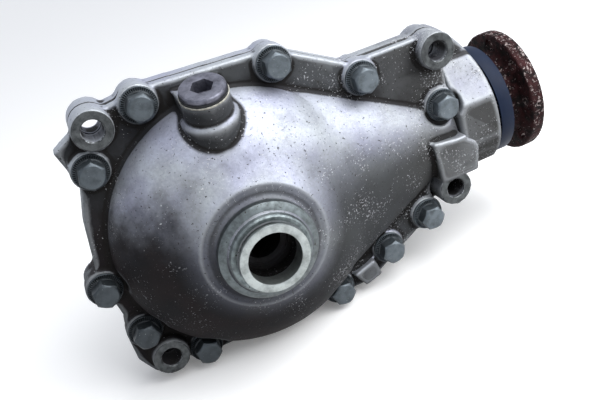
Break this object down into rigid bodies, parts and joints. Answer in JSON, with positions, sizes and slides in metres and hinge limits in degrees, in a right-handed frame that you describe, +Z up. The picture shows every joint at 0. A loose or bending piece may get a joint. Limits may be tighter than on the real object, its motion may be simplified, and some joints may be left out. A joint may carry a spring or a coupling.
{
  "type": "front differential",
  "caption": "Front axle differential with two-piece cast casing, ribbed bowl, bolted side cover, output bores with seals, pinion nose and companion flange.",
  "frame": {"origin": "on the output axis, at the mouth of the engine-side output bore", "axes": "+Y along the output axis towards the engine, +X along the pinion axis towards the companion flange, +Z up"},
  "size_m": [0.3302, 0.17, 0.1928],
  "materials": {
    "cast_aluminium": "die-cast, dull, stained",
    "zinc_steel": "zinc plated",
    "gear_steel": "ground and oiled",
    "rusted_steel": "rusted",
    "blue_steel": "glossy blue",
    "seal_rubber": "matt",
    "seal_steel": "plain sheet steel",
    "washer_fibre": "sealing ring"
  },
  "bodies": {
    "casing": {"casing": "cast_aluminium", "side_cover": "cast_aluminium", "cover_bolts": "zinc_steel", "cover_dowels": "zinc_steel", "filler_plug": "zinc_steel", "filler_plug_washer": "washer_fibre", "output_seal_left": "seal_steel", "output_seal_right": "seal_steel", "pinion_seal": "seal_rubber", "carrier_bearing_left_cup": "gear_steel", "carrier_bearing_right_cup": "gear_steel", "carrier_shim_left": "gear_steel", "carrier_shim_right": "gear_steel", "pinion_bearing_inner_cup": "gear_steel", "pinion_bearing_outer_cup": "gear_steel"},
    "differential_case": {"differential_case": "gear_steel", "ring_gear": "gear_steel", "ring_gear_bolts": "gear_steel", "cross_pin": "gear_steel", "cross_pin_lock": "gear_steel", "carrier_bearing_left_cone": "gear_steel", "carrier_bearing_left_rollers": "gear_steel", "carrier_bearing_right_cone": "gear_steel", "carrier_bearing_right_rollers": "gear_steel", "side_washer_left": "gear_steel", "side_washer_right": "gear_steel", "spider_washer_1": "gear_steel", "spider_washer_2": "gear_steel"},
    "pinion": {"pinion_shaft": "gear_steel", "pinion_shim": "gear_steel", "pinion_bearing_inner_cone": "gear_steel", "pinion_bearing_inner_rollers": "gear_steel", "pinion_bearing_outer_cone": "gear_steel", "pinion_bearing_outer_rollers": "gear_steel", "crush_sleeve": "gear_steel", "pinion_flange": "rusted_steel", "dust_deflector": "blue_steel", "pinion_nut": "rusted_steel"},
    "side_gear_left": {"side_gear_left": "gear_steel"},
    "side_gear_right": {"side_gear_right": "gear_steel"},
    "spider_gear_1": {"spider_gear_1": "gear_steel"},
    "spider_gear_2": {"spider_gear_2": "gear_steel"}
  },
  "joints": [
    {"name": "case_spin", "type": "hinge", "parent": "casing", "child": "differential_case", "pos_m": [0, -0.086, 0], "axis": [0, 1, 0], "continuous": true},
    {"name": "pinion_spin", "type": "hinge", "parent": "casing", "child": "pinion", "pos_m": [0.1, -0.075, 0], "axis": [1, 0, 0], "continuous": true},
    {"name": "side_gear_left_turn", "type": "hinge", "parent": "differential_case", "child": "side_gear_left", "pos_m": [0, -0.086, 0], "axis": [0, 1, 0], "continuous": true},
    {"name": "side_gear_right_turn", "type": "hinge", "parent": "differential_case", "child": "side_gear_right", "pos_m": [0, -0.086, 0], "axis": [0, 1, 0], "continuous": true},
    {"name": "spider_gear_1_turn", "type": "hinge", "parent": "differential_case", "child": "spider_gear_1", "pos_m": [0, -0.086, 0], "axis": [0, 0, 1], "continuous": true},
    {"name": "spider_gear_2_turn", "type": "hinge", "parent": "differential_case", "child": "spider_gear_2", "pos_m": [0, -0.086, 0], "axis": [0, 0, 1], "continuous": true}
  ],
  "couplings": [
    {"joint": "pinion_spin", "follows": "case_spin", "ratio": 3.0769},
    {"joint": "side_gear_right_turn", "follows": "side_gear_left_turn", "ratio": -1},
    {"joint": "spider_gear_1_turn", "follows": "side_gear_left_turn", "ratio": 1.4},
    {"joint": "spider_gear_2_turn", "follows": "side_gear_left_turn", "ratio": -1.4}
  ]
}
